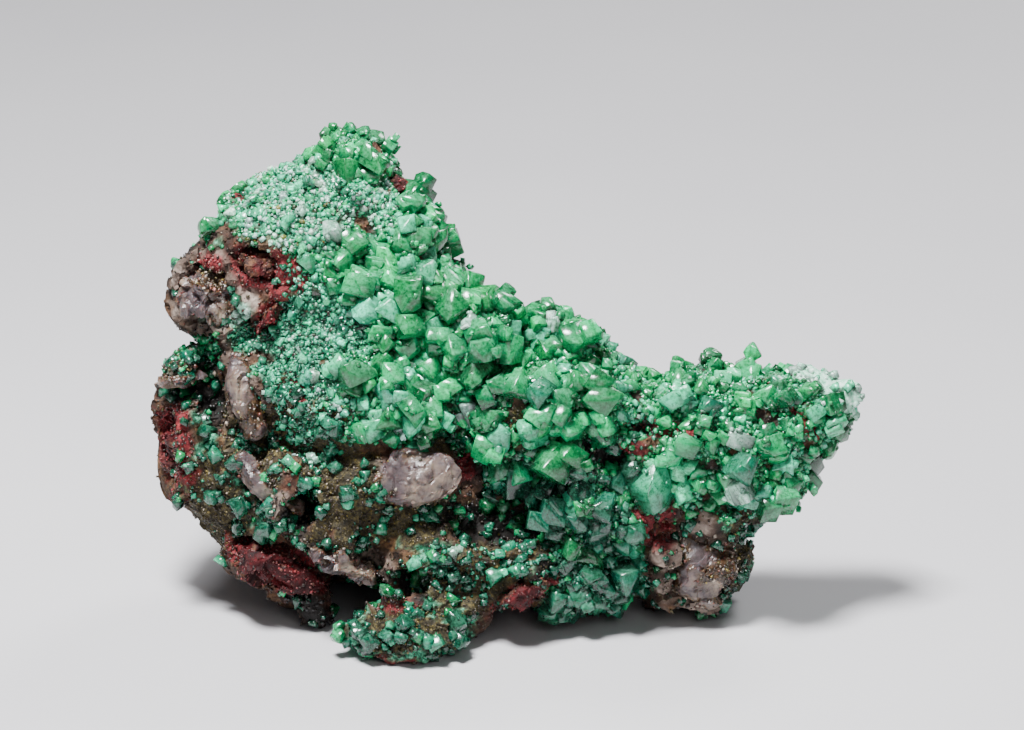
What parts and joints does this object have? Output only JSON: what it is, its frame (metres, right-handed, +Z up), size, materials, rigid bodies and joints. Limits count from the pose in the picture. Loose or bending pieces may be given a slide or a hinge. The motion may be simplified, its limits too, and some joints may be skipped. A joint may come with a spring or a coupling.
{
  "type": "zincolivenite specimen",
  "caption": "Hand specimen of green zincolivenite crystals crusted over a leaning L-shaped lump of red-brown iron-oxide rock with pale quartz, standing on its broken underside.",
  "frame": {"origin": "under the middle of the specimen, on the surface it stands on", "axes": "+X along its longest side, to the right across the display face; +Y to the back; +Z up"},
  "size_m": [0.0618, 0.0334, 0.0412],
  "materials": {
    "rock": "rough, earthy",
    "quartz": "translucent, waxy",
    "hematite": "dull, earthy",
    "crystal": "glassy, translucent"
  },
  "bodies": {
    "root": {"rock": "rock", "quartz_lens": "quartz", "quartz_slab": "quartz", "quartz_strip": "quartz", "quartz_shoulder": "quartz", "quartz_corner": "quartz", "quartz_rib": "quartz", "quartz_ledge": "quartz", "hematite_peak": "hematite", "hematite_shoulder": "hematite", "hematite_streak": "hematite", "hematite_wedge": "hematite", "hematite_edge": "hematite", "hematite_rim": "hematite", "hematite_patch": "hematite", "crust_main": "crystal", "crust_ledge": "crystal", "crust_flank": "crystal", "crust_foot": "crystal", "crust_apron": "crystal", "crust_corner": "crystal"}
  },
  "joints": []
}
